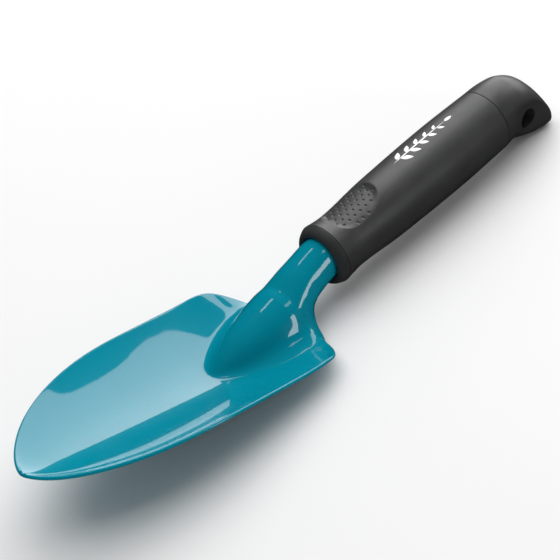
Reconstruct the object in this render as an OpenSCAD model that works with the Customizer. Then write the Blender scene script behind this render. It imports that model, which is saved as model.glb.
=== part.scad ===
// Hand trowel: a pressed steel blade whose neck rolls into a round tang, held in a
// moulded grip by a core and a hidden screw, with a removable end cap to hang it by.
// +X runs from the blade's tip to the end cap, +Y to the left, +Z up.

/* [Blade] */
// Distance from the grip's front face forward to the blade's tip
blade_reach = 169.5; // [168:0.5:172]
// Width of the blade where it is widest
blade_w = 84; // [78:1:90]
// Thickness of the pressed sheet
sheet_t = 1.6; // [1.2:0.1:2]
// Outer radius of the tube that the neck rolls into
tang_r = 10; // [9.6:0.1:10]
// Length of tang inside the grip
tang_len = 60; // [56:1:60]

/* [Grip] */
// Length of the grip body, from its front face to the end cap's seam
grip_len = 109; // [106:1:112]
// Radius of the rim round the tang's opening
rim_r = 14.6; // [14:0.1:15.4]
// Radius of the waist behind the rim
waist_r = 13.7; // [13.2:0.1:14]
// Radius of the barrel at its fullest
barrel_r = 15.9; // [15.4:0.1:16.6]
// Depth of the thumb rest below the surface round it
thumb_depth = 0.8; // [0.5:0.1:1]

/* [End cap] */
// Length of the end cap behind its seam
cap_len = 35; // [33:1:38]
// Depth of the heel below the grip's axis
heel_drop = 21; // [20:0.5:22]
// Diameter of the hanging hole
hang_d = 9.5; // [6:0.5:10]

/* [Hidden] */
$fn = 96;

// ---- Smooth curves through a few chosen points ----
function clamp01(t) = max(0, min(1, t));
function sum(v, i = 0) = i >= len(v) ? 0 : v[i] + sum(v, i + 1);
function key_at(keys, u, i = 0) = i >= len(keys) - 2 || u < keys[i + 1][0] ? i : key_at(keys, u, i + 1);
function rise(keys, i) = (keys[i + 1][1] - keys[i][1]) / (keys[i + 1][0] - keys[i][0]);
// The slope at a key: none at a turning point, so that the curve never swings past it
function key_slope(keys, i) =
    i == 0 ? rise(keys, 0) :
    i == len(keys) - 1 ? rise(keys, i - 1) :
    let (a = rise(keys, i - 1), b = rise(keys, i)) a * b <= 0 ? 0 : 2 * a * b / (a + b);
function curve(keys, u) =
    let (
        i = key_at(keys, u),
        h = keys[i + 1][0] - keys[i][0],
        t = clamp01((u - keys[i][0]) / h)
    )
    keys[i][1] * (2 * t * t * t - 3 * t * t + 1) + keys[i + 1][1] * (3 * t * t - 2 * t * t * t)
        + h * key_slope(keys, i) * (t * t * t - 2 * t * t + t)
        + h * key_slope(keys, i + 1) * (t * t * t - t * t);

// ---- Blade: u is the distance forward of the grip's front face ----
half_w = blade_w / 2 - 0.7;
root_u = 27;      // where the neck has opened out and the blade's floor begins
nose_u = 72;      // front of the raised dome
belly_u = 85;     // where the outline starts to narrow to the tip
corner_u = 44;    // where the shoulder's round corner meets the straight side
shoulder_keys = [[27, 24], [29.5, 31], [36, 39], [40, half_w - 0.6], [corner_u, half_w]];
root_foot = 24;   // half width of the dome's foot at the root
flare_r = 10.2;   // inside bend between the neck's wall and the blade's floor
dish_power = 2.15;

// Height of the dish's centre line, carried on under the dome
floor_keys = [[27, -17.6], [42, -16.5], [58, -14.3], [74, -11.1], [92, -6.6], [122, 1], [151, 8.3],
              [163, 11.4], [blade_reach, 14.6]];
// Height of the blade's edge
edge_keys = [[27, -16.3], [30, -14], [36, -9.4], [49, -6.7], [71, -1.2], [93, 4.4], [107, 7.3], [122, 9.8],
             [151, 13.3], [163, 14], [blade_reach, 14.8]];
// Top of the tang and neck
top_keys = [[-60, 8], [-54, 8], [-49, tang_r], [0, tang_r], [10, 8.2], [18, 6.2], [root_u, 2.8]];
// Radius of the fold, and how far its wall wraps round from the top, in degrees
fold_keys = [[-60, 8], [-54, 8], [-49, tang_r], [2, tang_r], [10, 10.2], [20, 11.8], [root_u, 14.1]];
wrap_keys = [[-60, 175], [5, 175], [10, 156], [16, 120], [20, 94], [root_u, 77], [45, 66], [58, 64]];
// Length of straight wall below the fold, and how far the wall has flared out again
wall_keys = [[-60, 0], [10, 0], [16, 1.5], [20, 4], [24, 2.5], [root_u, 0]];
flare_keys = [[-60, 0], [14, 0], [20, 25], [23, 56], [root_u, 77]];

function nose(u, from, p) = pow(max(0, 1 - pow(clamp01((u - from) / (nose_u - from)), p)), 0.5);
function wrap(u) = u >= nose_u ? 0 : u > 45 ? curve(wrap_keys, u) * nose(u, 45, 4) : curve(wrap_keys, u);
function foot(u) = u >= nose_u ? 0 : root_foot * pow(nose(u, root_u, 2), 1.44);
function bend_sum(u) = wrap(u) > 0 ? foot(u) / sin(wrap(u)) : 0;
function fold(u) = u < root_u ? curve(fold_keys, u) : 0.58 * bend_sum(u);
function flare(u) = u < root_u ? flare_r : 0.42 * bend_sum(u);
function flare_turn(u) = u < root_u ? curve(flare_keys, u) : wrap(u);
function wall(u) = u < root_u ? curve(wall_keys, u) : 0;
function top(u) = u < root_u ? curve(top_keys, u) : valley(u) + bend_sum(u) * (1 - cos(wrap(u)));
function outline(u) =
    u > belly_u ? half_w * pow(1 - pow((u - belly_u) / (blade_reach + 0.1 - belly_u), 2.35), 0.66) :
    u > corner_u ? half_w :
    curve(shoulder_keys, u);

// How the dish rises from the valley at y = f to its edge at y = w: level at first, then as a power of y
function dish(y, f, w) =
    let (ease = max(0.01, min(3, 0.4 * (w - f))))
    pow(y, dish_power) - pow(f, dish_power)
        - ease * dish_power * pow(f, dish_power - 1) * (1 - exp((f - y) / ease));

// A curve averaged over a short reach to either side, less near its ends, so that it bends evenly
function evened(keys, u) =
    let (r = max(0, min(7, u - keys[0][0], keys[len(keys) - 1][0] - u)))
    sum([for (k = [-4:4]) curve(keys, u + r * k / 4) * (5 - abs(k))]) / 25;
// How steeply the dish rises at u, and the height of the valley beside the dome
function gain(u) =
    (evened(edge_keys, u) - evened(floor_keys, u))
        / (dish(outline(u), foot(u), outline(u)) + pow(foot(u), dish_power));
function valley(u) = evened(floor_keys, u) + gain(u) * pow(foot(u), dish_power);

// A point on the half section at u, a distance d along the sheet from its top
function section_len(u) =
    let (bends = (fold(u) * wrap(u) + flare(u) * flare_turn(u)) * PI / 180 + wall(u))
    u < root_u ? bends : bends + outline(u) - foot(u);
function section_point(u, d) =
    let (
        r = fold(u), a = wrap(u), q = flare(u),
        len_fold = r * a * PI / 180,
        len_wall = len_fold + wall(u),
        len_bend = len_wall + q * flare_turn(u) * PI / 180,
        wall_end = [r * sin(a) + wall(u) * cos(a), top(u) - r * (1 - cos(a)) - wall(u) * sin(a)]
    )
    d <= len_fold && r > 0 ? let (t = d / r * 180 / PI) [r * sin(t), top(u) - r * (1 - cos(t))] :
    d <= len_wall ? [r * sin(a), top(u) - r * (1 - cos(a))] + (d - len_fold) * [cos(a), -sin(a)] :
    d <= len_bend || u < root_u ?
        let (t = a - (d - len_wall) / q * 180 / PI) wall_end + q * [sin(a) - sin(t), cos(a) - cos(t)] :
    let (y = foot(u) + d - len_bend)
    [y, valley(u) + gain(u) * dish(y, foot(u), outline(u))];

// Stations along the sheet: close together round the neck, the shoulder, the nose and the tip
stations = concat(
    [-tang_len, -54, -51.5, -49, -30, -12],
    [for (i = [0:6]) i * 2.5],
    [for (i = [0:9]) 17 + i * 1.1],
    [for (i = [0:8]) 28 + i * 1.9],
    [for (i = [0:9]) 46 + i * 2.6],
    [70.9, 71.7, 72.4],
    [for (i = [0:13]) 74 + i * 5.6],
    [for (i = [1:7]) 146.8 + (blade_reach - 146.8) * sin(i * 90 / 7)]
);
half_n = 18;
across = 2 * half_n + 1;
sheet_top = [for (u = stations) [for (j = [-half_n:half_n])
    let (p = section_point(u, section_len(u) * abs(j) / half_n)) [-u, -sign(j) * p[0], p[1]]]];
last_i = len(stations) - 1;
function unit(v) = v / norm(v);
function sheet_normal(i, j) = unit(cross(
    sheet_top[min(i + 1, last_i)][j] - sheet_top[max(i - 1, 0)][j],
    sheet_top[i][min(j + 1, across - 1)] - sheet_top[i][max(j - 1, 0)]));
function quad(a, b, c, d) = [[a, b, c], [a, c, d]];

module pressed_sheet() {
    upper = [for (row = sheet_top) for (p = row) p];
    lower = [for (i = [0:last_i]) for (j = [0:across - 1])
        sheet_top[i][j] - sheet_t * sheet_normal(i, j)];
    n = len(upper);
    function at(i, j) = i * across + j;
    skins = [for (i = [0:last_i - 1]) for (j = [0:across - 2]) each concat(
        quad(at(i, j), at(i, j + 1), at(i + 1, j + 1), at(i + 1, j)),
        quad(n + at(i, j), n + at(i + 1, j), n + at(i + 1, j + 1), n + at(i, j + 1)))];
    sides = [for (i = [0:last_i - 1]) each concat(
        quad(at(i, 0), at(i + 1, 0), n + at(i + 1, 0), n + at(i, 0)),
        quad(at(i + 1, across - 1), at(i, across - 1), n + at(i, across - 1), n + at(i + 1, across - 1)))];
    ends = [for (j = [0:across - 2]) each concat(
        quad(at(0, j + 1), at(0, j), n + at(0, j), n + at(0, j + 1)),
        quad(at(last_i, j), at(last_i, j + 1), n + at(last_i, j + 1), n + at(last_i, j)))];
    polyhedron(points = concat(upper, lower), faces = concat(skins, sides, ends), convexity = 8);
}

// The part's origin is at the middle of its box, on the surface that the heel rests on
module placed() {
    translate([(blade_reach - grip_len - cap_len) / 2, 0, heel_drop]) children();
}

module blade() {
    color("#00889f") placed() pressed_sheet();
}

// ---- What holds the tang, out of sight inside the grip ----
core_x = 26;
core_end = tang_len + 0.2;      // the core and tang stop at the bulkhead
core_r = tang_r - sheet_t - 0.2;
crimp_r = core_r - 2;           // the tang is crimped in round the core's rear end
bulkhead_x = tang_len + 0.4;
bulkhead_t = 4;
washer_t = 1.2;
screw_r = 2.4;

module along_x(x) {
    translate([x, 0, 0]) rotate([0, 90, 0]) children();
}

module tang_core() {
    color("#c9c4b5") placed() along_x(0) difference() {
        rotate_extrude() polygon([[0, core_x], [core_r - 1, core_x], [core_r, core_x + 1.5], [core_r, 48.2],
            [crimp_r, 53.5], [crimp_r, core_end], [0, core_end]]);
        translate([0, 0, core_x + 8]) cylinder(r = screw_r, h = core_end);
    }
}

module core_washer() {
    color("#b9bcc0") placed() along_x(bulkhead_x + bulkhead_t) difference() {
        cylinder(r = 6.4, h = washer_t);
        translate([0, 0, -1]) cylinder(r = screw_r + 0.3, h = washer_t + 2);
    }
}

module core_screw() {
    head_x = bulkhead_x + bulkhead_t + washer_t;
    head_r = 4.5;
    head_h = 2.8;
    color("#8d9196") placed() along_x(0) difference() {
        union() {
            translate([0, 0, core_x + 10]) cylinder(r1 = 0.8, r2 = screw_r, h = 3);
            translate([0, 0, core_x + 13]) cylinder(r = screw_r, h = head_x - core_x - 13);
            translate([0, 0, head_x]) cylinder(r = head_r, h = head_h * 0.6);
            translate([0, 0, head_x + head_h * 0.6])
                cylinder(r1 = head_r, r2 = head_r * 0.7, h = head_h * 0.4);
        }
        for (a = [0, 90]) rotate(a) translate([-2.6, -0.6, head_x + 0.9]) cube([5.2, 1.2, head_h]);
    }
}

// ---- Grip body: a turned shape, x is the distance behind the front face ----
rim_x = 3.7;
seam_r = 15.3;
socket_r = 11.6;
key_w = 3;          // rib that lets the cap go in one way round only
key_h = 1.2;
play = 0.12;        // gap all round the cap's spigot
grip_keys = [[rim_x, rim_r], [13, waist_r], [40, 15.2], [80, barrel_r], [grip_len, seam_r]];
thumb_x = 23.5;     // centre of the thumb rest
thumb_half = [14.2, 10.4];

function grip_outline(inset) = [for (i = [0:44])
    let (x = rim_x + (grip_len - rim_x) * i / 44) [curve(grip_keys, x) - inset, x]];

module grip_body() {
    lip_r = tang_r + 0.9;
    bulge = [for (a = [0:15:75]) [lip_r + (rim_r - lip_r) * sin(a), rim_x - (rim_x + 0.4) * cos(a)]];
    color("#3a3b3d") placed() along_x(0) difference() {
        rotate_extrude() polygon(concat(
            [[0, 0.3], [tang_r + 0.1, 0.3]], bulge, grip_outline(0), [[0, grip_len]]));
        translate([0, 0, -2]) cylinder(r = tang_r + 0.06, h = bulkhead_x + 2);
        translate([0, 0, bulkhead_x - 1]) cylinder(r = screw_r + 0.3, h = bulkhead_t + 2);
        translate([0, 0, bulkhead_x + bulkhead_t]) cylinder(r = socket_r, h = grip_len);
        translate([-socket_r - key_h, -key_w / 2 - play, bulkhead_x + bulkhead_t + 8])
            cube([key_h + 2, key_w + 2 * play, grip_len]);
        thumb_recess();
    }
}

// An oval patch of the upper surface, let in by an even depth
module thumb_recess() {
    intersection() {
        translate([0, 0, thumb_x]) rotate([0, -90, 0]) linear_extrude(height = barrel_r + 5)
            polygon([for (a = [0:7.5:352.5]) [thumb_half[0] * cos(a), thumb_half[1] * sin(a)]]);
        difference() {
            translate([0, 0, thumb_x - thumb_half[0] - 1])
                cylinder(r = barrel_r + 4, h = 2 * thumb_half[0] + 2);
            rotate_extrude() polygon(concat([[0, rim_x]], grip_outline(thumb_depth), [[0, grip_len]]));
        }
    }
}

// ---- End cap: c is the distance behind the seam ----
spigot_len = 36;
spigot_r = socket_r - play;
cap_gap = 0.15;
hang_c = 17.2;
hang_z = -7;
cap_top = [[0, seam_r], [5, seam_r], [14, 14.5], [21, 11.2], [27, 4], [31, -4], [33.8, -11.4],
           [cap_len, -15.4]];
cap_bottom = [[0, -seam_r], [7, -15.9], [16, -18.2], [23, -20.5], [28, -heel_drop], [32.6, -20.7],
              [34.5, -18.8], [cap_len, -16]];
cap_side = [[0, seam_r], [6, 15.2], [14, 14.4], [21, 13], [27, 11.8], [31, 10.8], [33.8, 8.2],
            [cap_len, 0.3]];
square_keys = [[0, 1], [6, 1], [20, 0.62], [cap_len, 0.62]];   // below 1 the heel's section is squarer
scoop_keys = [[0, 0.1], [4, 1], [10, 3], [17, 4.2], [23, 2.8], [29, 0.8], [cap_len, 0]];
scoop_from = 68;    // the scoop's upper edge and its foot, in degrees round from the top
scoop_to = 172;

function scoop(c, a) =
    let (g = (a - scoop_from) / (scoop_to - scoop_from))
    g <= 0 || g >= 1 ? 0 : curve(scoop_keys, c) * sin(180 * pow(g, 0.75));
function cap_ring(c, n) = [for (i = [0:n - 1])
    let (
        a = i * 360 / n,
        p = cos(a) < 0 ? curve(square_keys, c) : 1,
        up = curve(cap_top, c), down = curve(cap_bottom, c),
        side = curve(cap_side, c) * pow(abs(sin(a)), p),
        y = side - min(scoop(c, a > 180 ? 360 - a : a), 0.6 * side),
        z = (up + down) / 2 + (up - down) / 2 * sign(cos(a)) * pow(abs(cos(a)), p)
    )
    [grip_len + cap_gap + c, sign(sin(a)) * y, z]];

module cap_shell() {
    n = 60;
    steps = 26;
    rings = [for (i = [0:steps]) cap_ring(cap_len * sin(i * 90 / steps), n)];
    faces = [for (i = [0:steps - 1]) for (j = [0:n - 1]) let (k = (j + 1) % n)
        each quad(i * n + j, i * n + k, (i + 1) * n + k, (i + 1) * n + j)];
    polyhedron(points = [for (r = rings) for (p = r) p],
        faces = concat(faces, [[for (j = [n - 1:-1:0]) j], [for (j = [0:n - 1]) steps * n + j]]),
        convexity = 4);
}

module end_cap() {
    color("#3a3b3d") placed() difference() {
        union() {
            cap_shell();
            along_x(grip_len - spigot_len + 1) cylinder(r = spigot_r, h = spigot_len);
            along_x(grip_len - spigot_len) cylinder(r1 = spigot_r - 1, r2 = spigot_r, h = 1);
            translate([grip_len - 26, -key_w / 2, spigot_r - 1]) cube([27, key_w, key_h]);
        }
        along_x(grip_len - spigot_len - 1) cylinder(r = spigot_r - 2, h = spigot_len + 6);
        translate([grip_len + cap_gap + hang_c, 30, hang_z]) rotate([90, 0, 0]) cylinder(d = hang_d, h = 60);
    }
}

blade();
tang_core();
core_washer();
core_screw();
grip_body();
end_cap();
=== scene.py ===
"""Hand trowel, as it looks: coated steel blade, moulded grip with a pitted thumb rest, end cap with a hanging hole.

Shapes are worked out in millimetres behind or ahead of the grip's front face, on the grip's axis, and then
put in place in the frame by to_frame().
"""
import math

import bpy
import numpy as np
from mathutils import Matrix, Vector


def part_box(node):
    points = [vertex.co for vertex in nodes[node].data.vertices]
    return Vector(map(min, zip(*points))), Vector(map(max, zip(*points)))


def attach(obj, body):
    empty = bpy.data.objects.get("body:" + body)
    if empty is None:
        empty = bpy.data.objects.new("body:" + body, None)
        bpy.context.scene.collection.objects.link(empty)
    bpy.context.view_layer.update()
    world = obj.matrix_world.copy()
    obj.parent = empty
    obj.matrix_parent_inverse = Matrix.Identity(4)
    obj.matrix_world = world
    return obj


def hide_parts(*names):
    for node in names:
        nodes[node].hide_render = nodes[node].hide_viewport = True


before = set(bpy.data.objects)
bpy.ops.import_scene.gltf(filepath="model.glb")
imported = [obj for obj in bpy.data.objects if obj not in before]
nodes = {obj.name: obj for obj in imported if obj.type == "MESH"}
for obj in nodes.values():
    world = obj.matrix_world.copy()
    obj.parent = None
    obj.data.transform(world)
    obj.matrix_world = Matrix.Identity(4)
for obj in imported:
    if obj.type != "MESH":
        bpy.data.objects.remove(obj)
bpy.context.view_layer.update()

MM = 0.001

# ---------------------------------------------------------------- places, from the frame
blade_lo, blade_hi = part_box("blade")
grip_lo, grip_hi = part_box("grip_body")
cap_lo, cap_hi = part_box("end_cap")

LIP_BULGE = 0.4                     # how far the rounded lip stands ahead of the front face
CAP_GAP = 0.15                      # gap at the cap's seam
AXIS_Z = (grip_lo[2] + grip_hi[2]) / 2
FACE = np.array([grip_lo[0] + LIP_BULGE * MM, 0.0, AXIS_Z])
TIP_MARGIN, SIDE_MARGIN = 1.95, 1.45    # what the rounded edge and the sheet's lean take up of the blade's box
REACH = (FACE[0] - blade_lo[0]) / MM - TIP_MARGIN
HALF_W = (blade_hi[1] - blade_lo[1]) / 2 / MM - SIDE_MARGIN
GRIP_LEN = (grip_hi[0] - FACE[0]) / MM
CAP_LEN = (cap_hi[0] - grip_hi[0]) / MM - CAP_GAP
HEEL = (AXIS_Z - cap_lo[2]) / MM


def to_frame(points):
    """Millimetres about the middle of the grip's front face, to metres in the frame."""
    return np.asarray(points, float) * MM + FACE


# ---------------------------------------------------------------- curves and grids
def curve(keys, u):
    """A smooth curve through a few keys that never swings past a key."""
    k = np.array(keys, float)
    u = np.asarray(u, float)
    x, y = k[:, 0], k[:, 1]
    h = np.diff(x)
    d = np.diff(y) / h
    m = np.zeros(len(x))
    m[0], m[-1] = d[0], d[-1]
    for i in range(1, len(x) - 1):
        if d[i - 1] * d[i] > 0:
            m[i] = 2 * d[i - 1] * d[i] / (d[i - 1] + d[i])
    i = np.clip(np.searchsorted(x, u, side="right") - 1, 0, len(h) - 1)
    t = np.clip((u - x[i]) / h[i], 0, 1)
    return (y[i] * (2 * t**3 - 3 * t**2 + 1) + y[i + 1] * (3 * t**2 - 2 * t**3)
            + h[i] * m[i] * (t**3 - 2 * t**2 + t) + h[i] * m[i + 1] * (t**3 - t**2))


def smoothstep(t):
    t = np.clip(t, 0, 1)
    return t * t * (3 - 2 * t)


def relax(grid, passes):
    """Evens a grid of points out along both its directions, and keeps its corners where they are."""
    g = grid.copy()
    for _ in range(passes):
        s = g.copy()
        s[1:-1] = (g[:-2] + 2 * g[1:-1] + g[2:]) / 4
        t = s.copy()
        t[:, 1:-1] = (s[:, :-2] + 2 * s[:, 1:-1] + s[:, 2:]) / 4
        g = t
    return g


def grid_normals(g, spread):
    """Unit normals of a grid, each an area-weighted average over its neighbours."""
    n = np.cross(np.gradient(g, axis=0), np.gradient(g, axis=1))
    for _ in range(spread):
        p = np.pad(n, ((1, 1), (1, 1), (0, 0)), mode="edge")
        n = (p[:-2, 1:-1] + p[2:, 1:-1] + p[1:-1, :-2] + p[1:-1, 2:] + 4 * p[1:-1, 1:-1]) / 8
    return n / np.maximum(np.linalg.norm(n, axis=2, keepdims=True), 1e-12)


def refine(stations, times):
    """Adds times - 1 more stations, evenly spaced, between each pair."""
    s = np.asarray(stations, float)
    n = (len(s) - 1) * times + 1
    return np.interp(np.linspace(0, len(s) - 1, n), np.arange(len(s)), s)


def new_piece(name, verts, faces, smooth_angle=None):
    """A shaded mesh object from points in metres, with its faces turned outward."""
    mesh = bpy.data.meshes.new(name)
    mesh.from_pydata([tuple(v) for v in verts], [], faces)
    mesh.validate()
    obj = bpy.data.objects.new(name, mesh)
    bpy.context.scene.collection.objects.link(obj)
    mesh.shade_smooth()
    if smooth_angle:
        mesh.set_sharp_from_angle(angle=math.radians(smooth_angle))
    return obj


def quads(rows, cols, wrap_rows=False, wrap_cols=False, start=0):
    """Faces over a grid of points that are numbered row by row from start."""
    out = []
    for i in range(rows if wrap_rows else rows - 1):
        a, b = i % rows, (i + 1) % rows
        for j in range(cols if wrap_cols else cols - 1):
            k = (j + 1) % cols
            out.append((start + a * cols + j, start + a * cols + k, start + b * cols + k, start + b * cols + j))
    return out


# ---------------------------------------------------------------- the blade's form
ROOT, NOSE, BELLY, CORNER = 27.0, 72.0, 85.0, 44.0
SHEET = 1.6
TANG_R = 10.0
TANG_LEN = 60.0
FOOT, FLARE_R = 24.0, 10.2
EDGE_ROUND = 0.75
DISH_POWER, DISH_EASE = 2.15, 3.0
EVEN_REACH = 7.0
FLOOR_KEYS = [(27, -18.4), (42, -17.1), (58, -14.8), (74, -11.2), (92, -6.6), (122, 1), (151, 8.3), (163, 11.4),
              (REACH, 14.6)]
EDGE_KEYS = [(27, -16.3), (30, -14), (36, -9.4), (49, -6.7), (71, -1.2), (93, 4.4), (107, 7.3), (122, 9.8),
             (151, 13.3), (163, 14), (REACH, 14.8)]
TOP_KEYS = [(-60, 8), (-54, 8), (-49, TANG_R), (0, TANG_R), (10, 8.2), (18, 6.2), (ROOT, 2.8)]
FOLD_KEYS = [(-60, 8), (-54, 8), (-49, TANG_R), (2, TANG_R), (10, 10.2), (20, 11.8), (ROOT, 14.1)]
WRAP_KEYS = [(-60, 175), (5, 175), (10, 156), (16, 120), (20, 94), (ROOT, 77), (45, 66), (58, 64)]
WALL_KEYS = [(-60, 0), (10, 0), (16, 1.5), (20, 4), (24, 2.5), (ROOT, 0)]
FLARE_KEYS = [(-60, 0), (14, 0), (20, 25), (23, 56), (ROOT, 77)]
SHOULDER_KEYS = [(27, 24), (29.5, 31), (36, 39), (40, HALF_W - 0.6), (CORNER, HALF_W)]


def evened(keys, u):
    """The curve averaged over a short reach to either side, less near its ends, so that it bends evenly."""
    reach = max(0.0, min(EVEN_REACH, u - keys[0][0], keys[-1][0] - u))
    steps = range(-4, 5)
    total = sum(curve(keys, u + reach * k / 4) * (5 - abs(k)) for k in steps)
    return float(total) / sum(5 - abs(k) for k in steps)


def dish(y, f, w):
    """The dish's rise above its centre line, as a power of y, levelled out where it leaves the valley at y = f."""
    ease = max(0.01, min(DISH_EASE, 0.4 * (w - f)))
    return y**DISH_POWER + ease * DISH_POWER * f**(DISH_POWER - 1) * np.exp((f - y) / ease)


def half_section(u, steps):
    """Points (y, z) along half of the sheet's section at u, evenly spaced from its top to its free edge.

    In the neck a section is a fold, a straight wall and a flare. Behind the nose it is the dome's fold and flare,
    then the dish, and ahead of the nose it is the dish alone.
    """
    def nose(begin, power):
        return max(0.0, 1 - min(1.0, max(0.0, (u - begin) / (NOSE - begin))) ** power) ** 0.5

    wrap = float(curve(WRAP_KEYS, u))
    if u > 45:
        wrap = 0.0 if u >= NOSE else wrap * nose(45, 4)
    foot = 0.0 if u >= NOSE else FOOT * nose(ROOT, 2) ** 1.44
    bends = foot / math.sin(math.radians(wrap)) if wrap > 0 else 0.0
    in_neck = u < ROOT
    fold = float(curve(FOLD_KEYS, u)) if in_neck else 0.58 * bends
    flare = FLARE_R if in_neck else 0.42 * bends
    turn = float(curve(FLARE_KEYS, u)) if in_neck else wrap
    wall = float(curve(WALL_KEYS, u)) if in_neck else 0.0
    if u > BELLY:
        width = HALF_W * (1 - ((u - BELLY) / (REACH + 0.1 - BELLY)) ** 2.35) ** 0.66
    else:
        width = HALF_W if u > CORNER else float(curve(SHOULDER_KEYS, u))
    floor = evened(FLOOR_KEYS, u)
    gain = (evened(EDGE_KEYS, u) - floor) / dish(width, foot, width)
    valley = floor + gain * dish(foot, foot, width)
    top = float(curve(TOP_KEYS, u)) if in_neck else valley + bends * (1 - math.cos(math.radians(wrap)))

    a = math.radians(wrap)
    len_fold = fold * a
    len_wall = len_fold + wall
    len_bend = len_wall + flare * math.radians(turn)
    total = len_bend if in_neck else len_bend + width - foot
    d = np.linspace(0, total, steps + 1)
    out = np.zeros((steps + 1, 2))

    on_fold = d <= len_fold if fold > 0 else np.zeros(len(d), bool)
    t = d[on_fold] / max(fold, 1e-9)
    out[on_fold] = np.stack([fold * np.sin(t), top - fold * (1 - np.cos(t))], 1)
    on_wall = ~on_fold & (d <= len_wall)
    start = np.array([fold * math.sin(a), top - fold * (1 - math.cos(a))])
    along = np.array([math.cos(a), -math.sin(a)])
    out[on_wall] = start + (d[on_wall] - len_fold)[:, None] * along
    on_bend = ~on_fold & ~on_wall & ((d <= len_bend) | in_neck)
    if on_bend.any():
        t = a - (d[on_bend] - len_wall) / flare
        end = start + wall * along
        out[on_bend] = end + flare * np.stack([math.sin(a) - np.sin(t), math.cos(a) - np.cos(t)], 1)
    rest = ~(on_fold | on_wall | on_bend)
    if rest.any():
        y = foot + d[rest] - len_bend
        out[rest] = np.stack([y, floor + gain * dish(y, foot, width)], 1)
    return out


def blade_grid(finer):
    """The sheet's upper face as rows of points from the tang's end to the tip."""
    stations = np.concatenate([
        [-TANG_LEN, -54, -51.5, -49, -30, -12], np.arange(7) * 2.5, 17 + np.arange(10) * 1.1,
        28 + np.arange(9) * 1.9, 46 + np.arange(10) * 2.6, [70.9, 71.7, 72.4], 74 + np.arange(14) * 5.6,
        146.8 + (REACH - 146.8) * np.sin(np.radians(np.arange(1, 8) * 90 / 7))])
    rows = []
    for u in refine(stations, finer):
        half = half_section(u, 18 * finer)
        full = np.concatenate([half[:0:-1] * (-1, 1), half])
        rows.append(np.column_stack([np.full(len(full), -u), full]))
    return relax(np.array(rows), 3 * finer)


def make_blade():
    """One closed sheet: an upper and a lower face, joined all round by a rounded cut edge."""
    upper = blade_grid(4)
    normal = grid_normals(upper, 6)
    if normal[len(normal) // 2, normal.shape[1] // 2][2] < 0:
        normal = -normal
    lower = upper - SHEET * normal
    rows, cols = upper.shape[:2]
    border = ([(0, j) for j in range(cols)] + [(i, cols - 1) for i in range(1, rows)]
              + [(rows - 1, j) for j in range(cols - 2, -1, -1)] + [(i, 0) for i in range(rows - 2, 0, -1)])
    # The cut edge bulges outward from mid: out points away from the sheet's nearest inner point, and up off its face
    mid = np.array([(upper[b] + lower[b]) / 2 for b in border])
    up = np.array([normal[b] for b in border])
    along = np.roll(mid, -1, 0) - np.roll(mid, 1, 0)
    out = np.cross(along, up)
    out /= np.maximum(np.linalg.norm(out, axis=1, keepdims=True), 1e-9)
    inside = np.array([upper[min(max(i, 1), rows - 2), min(max(j, 1), cols - 2)] for i, j in border])
    out *= np.sign(np.einsum("ij,ij->i", out, mid - inside))[:, None]
    rings = []
    for angle in (72, 48, 24, 0, -24, -48, -72):
        a = math.radians(angle)
        rings.append(mid + EDGE_ROUND * math.cos(a) * out + SHEET / 2 * math.sin(a) * up)

    verts = np.concatenate([upper.reshape(-1, 3), lower.reshape(-1, 3)] + rings)
    n = rows * cols
    faces = quads(rows, cols) + [f[::-1] for f in quads(rows, cols, start=n)]
    loops = [[i * cols + j for i, j in border]]
    loops += [list(range(2 * n + k * len(border), 2 * n + (k + 1) * len(border))) for k in range(len(rings))]
    loops += [[n + i * cols + j for i, j in border]]
    for one, two in zip(loops, loops[1:]):
        for k in range(len(border)):
            m = (k + 1) % len(border)
            faces.append((one[k], two[k], two[m], one[m]))
    return new_piece("coated_blade", to_frame(verts), turned_out(verts, faces))


def turned_out(verts, faces):
    """The faces with their winding reversed if the closed surface would enclose a negative volume."""
    v = np.asarray(verts, float)
    total = 0.0
    for f in faces:
        p = v[list(f)]
        for k in range(1, len(f) - 1):
            total += np.dot(p[0], np.cross(p[k], p[k + 1]))
    return faces if total > 0 else [tuple(reversed(f)) for f in faces]


# ---------------------------------------------------------------- the grip
RIM_X, RIM_R = 3.7, 14.6
SEAM_R, BARREL_R, WAIST_R = 15.3, 15.9, 13.7
SOCKET_R = 11.6
BULKHEAD, BULKHEAD_T = 60.4, 4.0
SCREW_HOLE_R = 2.7
KEYWAY = (1.62, 1.2, 8.0)           # half width, depth, and how far behind the bulkhead it starts
GRIP_KEYS = [(RIM_X, RIM_R), (13, WAIST_R), (40, 15.2), (80, BARREL_R), (GRIP_LEN, SEAM_R)]
THUMB_X, THUMB_HALF = 23.5, (14.0, 10.2)
THUMB_DISH, THUMB_EDGE, THUMB_STEP = 1.15, 0.1, 0.5
PIT_PITCH, PIT_ROW, PIT_R, PIT_DEPTH = 3.45, 2.97, 0.75, 0.35
LIP_LEAN, LEAN_ABOUT = 0.075, 6.0   # the lip's foot stands further forward than its top


def thumb_oval(x, y):
    """0 in the middle of the thumb rest, 1 at its outline, which is squarer in front than behind."""
    power = np.where(np.asarray(x) < THUMB_X, 3.0, 2.2)
    return (np.abs((x - THUMB_X) / THUMB_HALF[0]) ** power + np.abs(y / THUMB_HALF[1]) ** power)


def thumb_pits():
    """The middles of the thumb rest's pits, in staggered rows that stop short of its outline."""
    pits = []
    for row in range(-3, 4):
        for k in range(-4, 5):
            x, y = THUMB_X + PIT_PITCH * (k + 0.5 * (row % 2)), PIT_ROW * row
            if thumb_oval(x, y) < 0.80:
                pits.append((x, y))
    return pits


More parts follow.
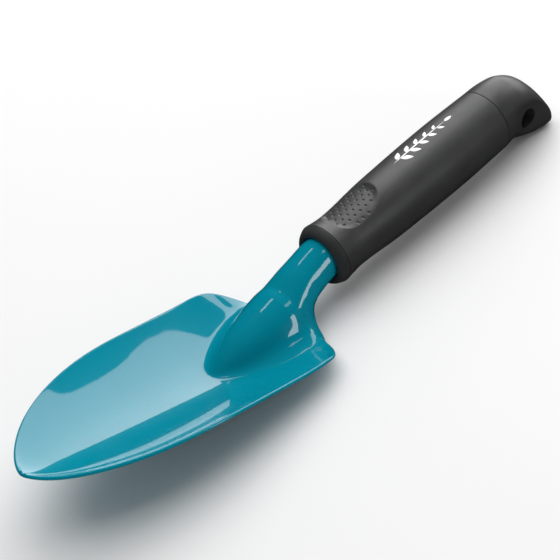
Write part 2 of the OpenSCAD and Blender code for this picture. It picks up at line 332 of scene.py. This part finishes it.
def thumb_sink(x, y):
    """Depth of the thumb rest's dished floor, its edge, the step at its front and its pits."""
    e = thumb_oval(x, y)
    inside = np.clip(1 - e, 0, 1)
    front = np.clip((THUMB_X - x) / THUMB_HALF[0], 0, 1) ** 2 * np.clip(1 - (y / THUMB_HALF[1]) ** 2, 0, 1)
    depth = THUMB_DISH * np.clip(1 - (y / THUMB_HALF[1]) ** 2, 0, 1) * smoothstep(inside / 0.45)
    depth = depth + (THUMB_EDGE + THUMB_STEP * front) * smoothstep(inside / 0.16)
    for px, py in thumb_pits():
        near = np.clip(1 - ((x - px) ** 2 + (y - py) ** 2) / PIT_R**2, 0, 1)
        depth = depth + PIT_DEPTH * near**1.5
    return depth


def make_grip():
    """A ring-shaped solid: lip, barrel, rear socket and tang bore are one closed profile turned about the axis."""
    dense = np.arange(-50, 50.01, 0.9)
    sparse = np.linspace(50, 310, 76)[1:-1]
    theta = np.radians(np.concatenate([dense, sparse]))
    lip = [(rim_x_at(a), lip_r_at(a)) for a in range(0, 90, 9)]
    fine = 0.25
    xs = np.concatenate([np.arange(RIM_X + 0.7, 11.5, 0.7), np.arange(11.5, 43.6, fine),
                         np.arange(45, GRIP_LEN - 0.6, 1.6), [GRIP_LEN - 0.5, GRIP_LEN - 0.3]])
    outer = [(x, float(curve(GRIP_KEYS, x))) for x in xs]
    groove = [(RIM_X - 0.08, RIM_R), (RIM_X + 0.08, RIM_R - 0.05), (RIM_X + 0.12, RIM_R - 0.4),
              (RIM_X + 0.38, RIM_R - 0.4), (RIM_X + 0.42, RIM_R - 0.08), (RIM_X + 0.5, RIM_R - 0.03)]
    rear = [(GRIP_LEN - 0.16, SEAM_R - 0.06), (GRIP_LEN - 0.06, SEAM_R - 0.35), (GRIP_LEN, SOCKET_R + 1.6),
            (GRIP_LEN, SOCKET_R + 0.4), (GRIP_LEN - 0.4, SOCKET_R)]
    key_x = BULKHEAD + BULKHEAD_T + KEYWAY[2]
    socket = [(GRIP_LEN - 8, SOCKET_R), (key_x + 0.05, SOCKET_R), (key_x - 0.05, SOCKET_R),
              (BULKHEAD + BULKHEAD_T, SOCKET_R), (BULKHEAD + BULKHEAD_T, SCREW_HOLE_R)]
    bore = [(BULKHEAD, SCREW_HOLE_R), (BULKHEAD, TANG_R + 0.06), (4, TANG_R + 0.06), (0.5, TANG_R + 0.12),
            (0.15, TANG_R + 0.3)]
    profile = lip + groove + outer + rear + socket + bore
    first_outer, last_outer = len(lip), len(lip) + len(groove) + len(outer)
    points = np.zeros((len(profile), len(theta), 3))
    face_end = RIM_X + 6
    for i, (x, r) in enumerate(profile):
        radius = np.full(len(theta), r)
        y = r * np.sin(theta)
        if first_outer <= i < last_outer:
            on_top = np.cos(theta) > 0
            radius = radius - np.where(on_top, thumb_sink(x, y), 0)
        if x > key_x and r == SOCKET_R or (x == GRIP_LEN and r < SOCKET_R + 0.5):
            in_key = (np.abs(y) < KEYWAY[0]) & (np.cos(theta) > 0)
            radius = np.where(in_key, SOCKET_R + KEYWAY[1], radius)
        z = radius * np.cos(theta)
        lean = LIP_LEAN * (z - LEAN_ABOUT) * max(0.0, 1 - max(0.0, x) / face_end) ** 2
        points[i] = np.stack([x + lean, radius * np.sin(theta), z], 1)
    faces = quads(len(profile), len(theta), wrap_rows=True, wrap_cols=True)
    verts = points.reshape(-1, 3)
    return new_piece("moulded_grip", to_frame(verts), turned_out(verts, faces), smooth_angle=50)


def lip_r_at(angle):
    """The lip's radius from the bore's edge, at 0 degrees, to the rim, at 90."""
    inner = TANG_R + 0.9
    return inner + (RIM_R - inner) * math.sin(math.radians(angle))


def rim_x_at(angle):
    """The lip is nearly a cone: it leaves the bore gently and turns sharply into the rim."""
    return RIM_X - (RIM_X + LIP_BULGE) * (1 - math.sin(math.radians(angle)) ** 2.6) ** 0.9


# ---------------------------------------------------------------- the end cap
SPIGOT_LEN, SPIGOT_R, SPIGOT_WALL = 36.0, SOCKET_R - 0.12, 2.0
HANG_C, HANG_Z, HANG_R = 17.2, -7.0, 4.75   # the hole's distance behind the seam, its height and its radius
CAP_TOP = [(0, SEAM_R), (5, SEAM_R), (14, 14.5), (21, 11.2), (27, 4), (31, -4), (33.8, -11.4), (CAP_LEN, -15.4)]
CAP_BOTTOM = [(0, -SEAM_R), (7, -15.9), (16, -18.2), (23, -20.5), (28, -HEEL), (32.6, -20.7), (34.5, -18.8),
              (CAP_LEN, -16)]
CAP_SIDE = [(0, SEAM_R), (6, 15.2), (14, 14.4), (21, 13), (27, 11.8), (31, 10.8), (33.8, 8.2), (CAP_LEN, 0.3)]
SQUARE_KEYS = [(0, 1), (6, 1), (20, 0.62), (CAP_LEN, 0.62)]
SCOOP_KEYS = [(0, 0.1), (4, 1), (10, 3), (17, 4.2), (23, 2.8), (29, 0.8), (CAP_LEN, 0)]
SCOOP_FROM, SCOOP_TO = 68, 172


def cap_ring(c, degrees):
    """The cap's outline, as (y, z), at a distance c behind the seam."""
    t = np.radians(degrees)
    folded = np.where(degrees > 180, 360 - degrees, degrees)
    g = np.clip((folded - SCOOP_FROM) / (SCOOP_TO - SCOOP_FROM), 0, 1)
    power = np.where(np.cos(t) < 0, float(curve(SQUARE_KEYS, c)), 1.0)
    side = float(curve(CAP_SIDE, c)) * np.abs(np.sin(t)) ** power
    scoop = float(curve(SCOOP_KEYS, c)) * np.sin(np.pi * g**0.75)
    y = (side - np.minimum(scoop, 0.6 * side)) * np.where(degrees > 180, -1, 1)
    up, down = float(curve(CAP_TOP, c)), float(curve(CAP_BOTTOM, c))
    return y, (up + down) / 2 + (up - down) / 2 * np.sign(np.cos(t)) * np.abs(np.cos(t)) ** power


def make_cap():
    """The cap's shell and spigot as one turned and shaped skin, with the hanging hole cut through it."""
    degrees = np.arange(0, 360, 2)
    t = np.radians(degrees)
    steps = 80
    shell = []
    for i in range(1, steps):
        c = CAP_LEN * math.sin(math.radians(i * 90 / steps))
        y, z = cap_ring(c, degrees)
        shell.append(np.stack([np.full(len(t), GRIP_LEN + CAP_GAP + c), y, z], 1))
    shell = np.array(shell)
    wrapped = np.concatenate([shell[:, -12:], shell, shell[:, :12]], axis=1)
    shell = relax(wrapped, 5)[:, 12:-12]

    def ring(x, r):
        radius = np.full(len(t), r)
        if GRIP_LEN - 26 <= x < GRIP_LEN and r >= SPIGOT_R - 0.01:
            on_key = (np.abs(r * np.sin(t)) < 1.5) & (np.cos(t) > 0)
            radius = np.where(on_key, r + 1.1, radius)
        return np.stack([np.full(len(t), x), radius * np.sin(t), radius * np.cos(t)], 1)

    seam_x = GRIP_LEN + CAP_GAP
    hollow_r = SPIGOT_R - SPIGOT_WALL
    start = GRIP_LEN - SPIGOT_LEN
    lead = [ring(seam_x + 4.8, hollow_r * 0.5), ring(seam_x + 4.8, hollow_r - 0.4), ring(seam_x + 4.4, hollow_r),
            ring(start + 0.4, hollow_r), ring(start, hollow_r + 0.4), ring(start, SPIGOT_R - 1),
            ring(start + 1, SPIGOT_R)]
    lead += [ring(x, SPIGOT_R) for x in (GRIP_LEN - 26.05, GRIP_LEN - 25.95, GRIP_LEN - 12, GRIP_LEN - 0.5)]
    lead += [ring(seam_x, SPIGOT_R + 0.3), ring(seam_x, SEAM_R - 0.28), ring(seam_x + 0.13, SEAM_R - 0.05)]
    grid = np.concatenate([np.array(lead), shell])
    rows, cols = grid.shape[:2]
    ends = np.array([[seam_x + 4.8, 0, 0], shell[-1].mean(0) + (0.02, 0, 0)])
    verts = np.concatenate([grid.reshape(-1, 3), ends])
    faces = quads(rows, cols, wrap_cols=True)
    n = rows * cols
    for j in range(cols):
        k = (j + 1) % cols
        faces.append((k, j, n))
        faces.append(((rows - 1) * cols + j, (rows - 1) * cols + k, n + 1))
    cap = new_piece("moulded_cap", to_frame(verts), turned_out(verts, faces))

    cutter = hole_cutter(GRIP_LEN + CAP_GAP + HANG_C)
    cut = cap.modifiers.new("hanging_hole", "BOOLEAN")
    cut.operation, cut.solver, cut.object = "DIFFERENCE", "EXACT", cutter
    bpy.context.view_layer.update()
    done = bpy.data.meshes.new_from_object(cap.evaluated_get(bpy.context.evaluated_depsgraph_get()))
    cap.modifiers.clear()
    cap.data = done
    bpy.data.objects.remove(cutter)
    done.shade_smooth()
    done.set_sharp_from_angle(angle=math.radians(38))
    return cap


def hole_cutter(x):
    """A pin along Y with flared ends, which leaves a hole with softened mouths."""
    cols = 72
    half = [(7.5, 0), (9.4, 0.04), (10.2, 0.2), (11.0, 0.6), (30, 2.0)]
    profile = [(-y, HANG_R + flare) for y, flare in half[::-1]] + [(y, HANG_R + flare) for y, flare in half]
    verts = []
    for y, r in profile:
        for k in range(cols):
            a = 2 * math.pi * k / cols
            verts.append((x + r * math.cos(a), y, HANG_Z + r * math.sin(a)))
    n = len(profile)
    faces = quads(n, cols, wrap_cols=True) + [tuple(range(cols)), tuple(range((n - 1) * cols, n * cols))[::-1]]
    return new_piece("cutter", to_frame(verts), turned_out(verts, faces))


# ---------------------------------------------------------------- the printed sprig
PRINT_X, PRINT_LEN, PRINT_LIFT = 52.0, 35.0, 0.03
LEAF_PAIRS = 5


def leaf_strip(x0, y0, angle, length, width, steps=12):
    """A leaf outline as a strip: rows along its rib, with a left, middle and right point in each."""
    a = math.radians(angle)
    along, across = np.array([math.cos(a), math.sin(a)]), np.array([-math.sin(a), math.cos(a)])
    rows = []
    for k in range(steps + 1):
        s = k / steps
        half = width / 2 * max(0.02, math.sin(math.pi * s**0.8)) ** 0.9
        rows.append([np.array([x0, y0]) + along * s * length + across * w * half for w in (-1, -0.33, 0.33, 1)])
    return np.array(rows)


def make_print():
    """A plain leafy sprig, a skin of ink that follows the barrel."""
    strips = [leaf_strip(PRINT_X, 0, 0, PRINT_LEN, 0.75, 40)]
    for k in range(LEAF_PAIRS):
        x = PRINT_X + 3 + k * 6.0
        size = 1 - 0.1 * k
        for side in (1, -1):
            strips.append(leaf_strip(x + (1.6 if side < 0 else 0), side * 0.5, side * 42, 5.6 * size, 2.5 * size))
    strips.append(leaf_strip(PRINT_X + PRINT_LEN - 1.0, 0, 0, 4.6, 2.0))
    verts, faces = [], []
    for s in strips:
        x, arc = s[..., 0], s[..., 1]
        both = []
        for lift in (PRINT_LIFT, -0.05):
            r = curve(GRIP_KEYS, x) + lift
            t = arc / r
            both.append(np.stack([x, r * np.sin(t), r * np.cos(t)], -1))
        rows, cols = s.shape[:2]
        start = len(verts)
        n = rows * cols
        verts.extend(both[0].reshape(-1, 3))
        verts.extend(both[1].reshape(-1, 3))
        faces += [f[::-1] for f in quads(rows, cols, start=start)] + quads(rows, cols, start=start + n)
        rim = ([j for j in range(cols)] + [i * cols + cols - 1 for i in range(1, rows)]
               + [(rows - 1) * cols + j for j in range(cols - 2, -1, -1)]
               + [i * cols for i in range(rows - 2, 0, -1)])
        for k in range(len(rim)):
            a, b = start + rim[k], start + rim[(k + 1) % len(rim)]
            faces.append((a, b, b + n, a + n))
    return new_piece("printed_sprig", to_frame(verts), turned_out(verts, faces))


# ---------------------------------------------------------------- materials
class Shader:
    """A material's node tree, with short calls for the nodes used here."""

    def __init__(self, name):
        self.material = bpy.data.materials.new(name)
        self.material.use_nodes = True
        self.tree = self.material.node_tree
        self.bsdf = self.tree.nodes["Principled BSDF"]
        self.coords = self.tree.nodes.new("ShaderNodeTexCoord").outputs["Object"]

    def set(self, **values):
        for key, value in values.items():
            self.bsdf.inputs[key.replace("_", " ")].default_value = value

    def noise(self, scale, detail=2.0, roughness=0.5, stretch=None):
        node = self.tree.nodes.new("ShaderNodeTexNoise")
        node.inputs["Scale"].default_value = scale
        node.inputs["Detail"].default_value = detail
        node.inputs["Roughness"].default_value = roughness
        source = self.coords
        if stretch:
            mapping = self.tree.nodes.new("ShaderNodeMapping")
            mapping.inputs["Scale"].default_value = stretch
            self.tree.links.new(source, mapping.inputs["Vector"])
            source = mapping.outputs["Vector"]
        self.tree.links.new(source, node.inputs["Vector"])
        return node.outputs["Fac"]

    def cells(self, scale):
        node = self.tree.nodes.new("ShaderNodeTexVoronoi")
        node.inputs["Scale"].default_value = scale
        self.tree.links.new(self.coords, node.inputs["Vector"])
        return node.outputs["Distance"]

    def ramp(self, fac, stops):
        node = self.tree.nodes.new("ShaderNodeValToRGB")
        node.color_ramp.elements[0].position, node.color_ramp.elements[0].color = stops[0][0], stops[0][1]
        node.color_ramp.elements[1].position, node.color_ramp.elements[1].color = stops[-1][0], stops[-1][1]
        for place, colour in stops[1:-1]:
            node.color_ramp.elements.new(place).color = colour
        self.tree.links.new(fac, node.inputs["Fac"])
        return node.outputs["Color"]

    def span(self, fac, low, high):
        """fac, from about 0.3 to 0.7, spread over low to high."""
        node = self.tree.nodes.new("ShaderNodeMapRange")
        node.inputs["From Min"].default_value, node.inputs["From Max"].default_value = 0.3, 0.7
        node.inputs["To Min"].default_value, node.inputs["To Max"].default_value = low, high
        self.tree.links.new(fac, node.inputs["Value"])
        return node.outputs["Result"]

    def bump(self, height, strength, distance, under=None):
        node = self.tree.nodes.new("ShaderNodeBump")
        node.inputs["Strength"].default_value = strength
        node.inputs["Distance"].default_value = distance
        self.tree.links.new(height, node.inputs["Height"])
        if under:
            self.tree.links.new(under, node.inputs["Normal"])
        return node.outputs["Normal"]

    def link(self, output, socket):
        self.tree.links.new(output, self.bsdf.inputs[socket])


def grey(v):
    return (v, v * 1.01, v * 1.04, 1)


def coated_steel():
    """Baked teal coating: glossy, with faint orange peel and a little drift in its colour."""
    s = Shader("teal_coating")
    s.link(s.ramp(s.noise(18, 3), [(0.3, (0.0, 0.235, 0.325, 1)), (0.7, (0.0, 0.255, 0.350, 1))]), "Base Color")
    s.link(s.span(s.noise(120, 3), 0.20, 0.30), "Roughness")
    s.set(IOR=1.5, Specular_IOR_Level=0.05, Coat_Weight=1.0, Coat_Roughness=0.03, Coat_IOR=1.5)
    peel = s.bump(s.noise(420, 2), 0.035, 0.0001)
    fine = s.bump(s.noise(1500, 1), 0.02, 0.00004, under=peel)
    s.link(fine, "Normal")
    s.link(fine, "Coat Normal")
    return s.material


def moulded_plastic(name, dark, light, rough, grain):
    """Charcoal plastic from a spark-eroded mould: satin, with a fine even grain."""
    s = Shader(name)
    s.link(s.ramp(s.noise(60, 4), [(0.3, grey(dark)), (0.7, grey(light))]), "Base Color")
    s.link(s.span(s.noise(300, 3), rough - 0.04, rough + 0.05), "Roughness")
    s.set(IOR=1.5)
    coarse = s.bump(s.noise(900, 3, 0.6), grain * 0.6, 0.0002)
    s.link(s.bump(s.cells(3200), grain, 0.00012, under=coarse), "Normal")
    return s.material


def ink():
    """White printing ink, slightly uneven."""
    s = Shader("white_ink")
    s.link(s.ramp(s.noise(900, 3), [(0.25, (0.74, 0.74, 0.73, 1)), (0.6, (0.84, 0.84, 0.83, 1))]), "Base Color")
    s.link(s.span(s.noise(700, 2), 0.42, 0.58), "Roughness")
    s.link(s.bump(s.noise(3000, 2), 0.12, 0.00005), "Normal")
    return s.material


def zinc_plate():
    """Bright zinc plating with faint drawing marks."""
    s = Shader("zinc_plate")
    s.link(s.ramp(s.noise(500, 4), [(0.3, (0.46, 0.48, 0.52, 1)), (0.7, (0.62, 0.64, 0.66, 1))]), "Base Color")
    s.link(s.span(s.noise(1400, 3), 0.22, 0.42), "Roughness")
    s.set(Metallic=1.0)
    s.link(s.bump(s.noise(1800, 3, stretch=(0.15, 1, 1)), 0.2, 0.0001), "Normal")
    return s.material


def core_plastic():
    """Natural, uncoloured plastic."""
    s = Shader("natural_plastic")
    s.link(s.ramp(s.noise(200, 3), [(0.3, (0.50, 0.46, 0.37, 1)), (0.7, (0.60, 0.56, 0.47, 1))]), "Base Color")
    s.link(s.span(s.noise(500, 3), 0.45, 0.6), "Roughness")
    s.link(s.bump(s.noise(1500, 3), 0.25, 0.0001), "Normal")
    return s.material


def wear(obj, material):
    obj.data.materials.clear()
    obj.data.materials.append(material)


# ---------------------------------------------------------------- camera, floor and lights
VIEW_AZIMUTH, VIEW_ELEVATION, VIEW_ROLL = -34.24, 38.56, -16.89
VIEW_DISTANCE, LENS = 1.0376, 153.6
AIM = to_frame((-16.58, 10.17, -4.27))


def make_camera():
    """The photograph's angle: from the blade's right, above, and rolled so that the grip rises across the frame."""
    a, e = math.radians(VIEW_AZIMUTH), math.radians(VIEW_ELEVATION)
    back = Vector((math.sin(a) * math.cos(e), -math.cos(a) * math.cos(e), math.sin(e)))
    turn = back.to_track_quat("Z", "Y").to_matrix() @ Matrix.Rotation(math.radians(VIEW_ROLL), 3, "Z")
    data = bpy.data.cameras.new("camera")
    data.lens, data.sensor_width = LENS, 36.0
    data.clip_start, data.clip_end = 0.05, 60
    cam = bpy.data.objects.new("camera", data)
    cam.matrix_world = Matrix.Translation(Vector(AIM) + back * VIEW_DISTANCE) @ turn.to_4x4()
    bpy.context.scene.collection.objects.link(cam)
    bpy.context.scene.camera = cam


def make_floor():
    """A plain pale floor that the glossy coating doesn't mirror."""
    size = 4.0
    floor = new_piece("floor", [(-size, -size, 0), (size, -size, 0), (size, size, 0), (-size, size, 0)],
                      [(0, 1, 2, 3)])
    s = Shader("pale_floor")
    s.link(s.ramp(s.noise(3, 2), [(0.3, (0.86, 0.86, 0.86, 1)), (0.7, (0.88, 0.88, 0.88, 1))]), "Base Color")
    s.set(Roughness=0.9)
    wear(floor, s.material)
    floor.visible_glossy = False


def soft_box(name, azimuth, elevation, distance, size, radiance, about=(-0.08, 0, 0.02), mirrored=True):
    """An area light of the given radiance, facing a point on the trowel from an azimuth and elevation in degrees."""
    data = bpy.data.lights.new(name, "AREA")
    data.shape, data.size, data.size_y = "RECTANGLE", size[0], size[1]
    data.energy = radiance * math.pi * size[0] * size[1]
    lamp = bpy.data.objects.new(name, data)
    a, e = math.radians(azimuth), math.radians(elevation)
    out = Vector((math.cos(a) * math.cos(e), math.sin(a) * math.cos(e), math.sin(e)))
    lamp.location = Vector(about) + out * distance
    lamp.rotation_mode = "QUATERNION"
    lamp.rotation_quaternion = out.to_track_quat("Z", "Y")
    lamp.visible_camera = False
    lamp.visible_glossy = mirrored
    bpy.context.scene.collection.objects.link(lamp)
    return lamp


def make_lights():
    """Soft studio light. Returns the box that lights the grip alone, which would show twice in the blade."""
    soft_box("wall_box", 18, 22.5, 2.4, (2.76, 1.86), 3.2)
    grip_box = soft_box("grip_box", 33, 66, 0.34, (0.26, 0.24), 3.0, about=(0.08, 0, 0.03))
    soft_box("neck_box", 70, 67, 0.9, (0.11, 0.10), 4.5, about=(0.01, 0, 0.03))
    soft_box("front_strip", -69, 11, 0.9, (0.13, 0.36), 6.0, about=(-0.01, 0, 0.02))
    soft_box("front_strip_top", -50, 54, 0.9, (0.12, 0.16), 2.6, about=(-0.01, 0, 0.02))
    soft_box("overhead_fill", 60, 78, 1.5, (2.0, 2.0), 1.5, mirrored=False)
    world = bpy.data.worlds.new("studio")
    bpy.context.scene.world = world
    world.use_nodes = True
    back = world.node_tree.nodes["Background"]
    back.inputs["Color"].default_value = (1, 1, 1, 1)
    back.inputs["Strength"].default_value = 0.25
    world.cycles_visibility.glossy = False
    bpy.context.scene.view_settings.view_transform = "Standard"
    return grip_box


# ---------------------------------------------------------------- put together
make_camera()
make_floor()
grip_light = make_lights()

blade = make_blade()
wear(blade, coated_steel())
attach(blade, "tool")
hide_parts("blade")

grip = make_grip()
wear(grip, moulded_plastic("grip_moulding", 0.030, 0.037, 0.42, 0.12))
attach(grip, "tool")
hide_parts("grip_body")

sprig = make_print()
wear(sprig, ink())
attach(sprig, "tool")

cap = make_cap()
wear(cap, moulded_plastic("cap_moulding", 0.030, 0.037, 0.38, 0.10))
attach(cap, "cap")
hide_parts("end_cap")

lit = bpy.data.collections.new("lit_by_grip_box")
for piece in (grip, sprig, cap):
    lit.objects.link(piece)
grip_light.light_linking.receiver_collection = lit

wear(nodes["tang_core"], core_plastic())
steel = zinc_plate()
wear(nodes["core_washer"], steel)
wear(nodes["core_screw"], steel)
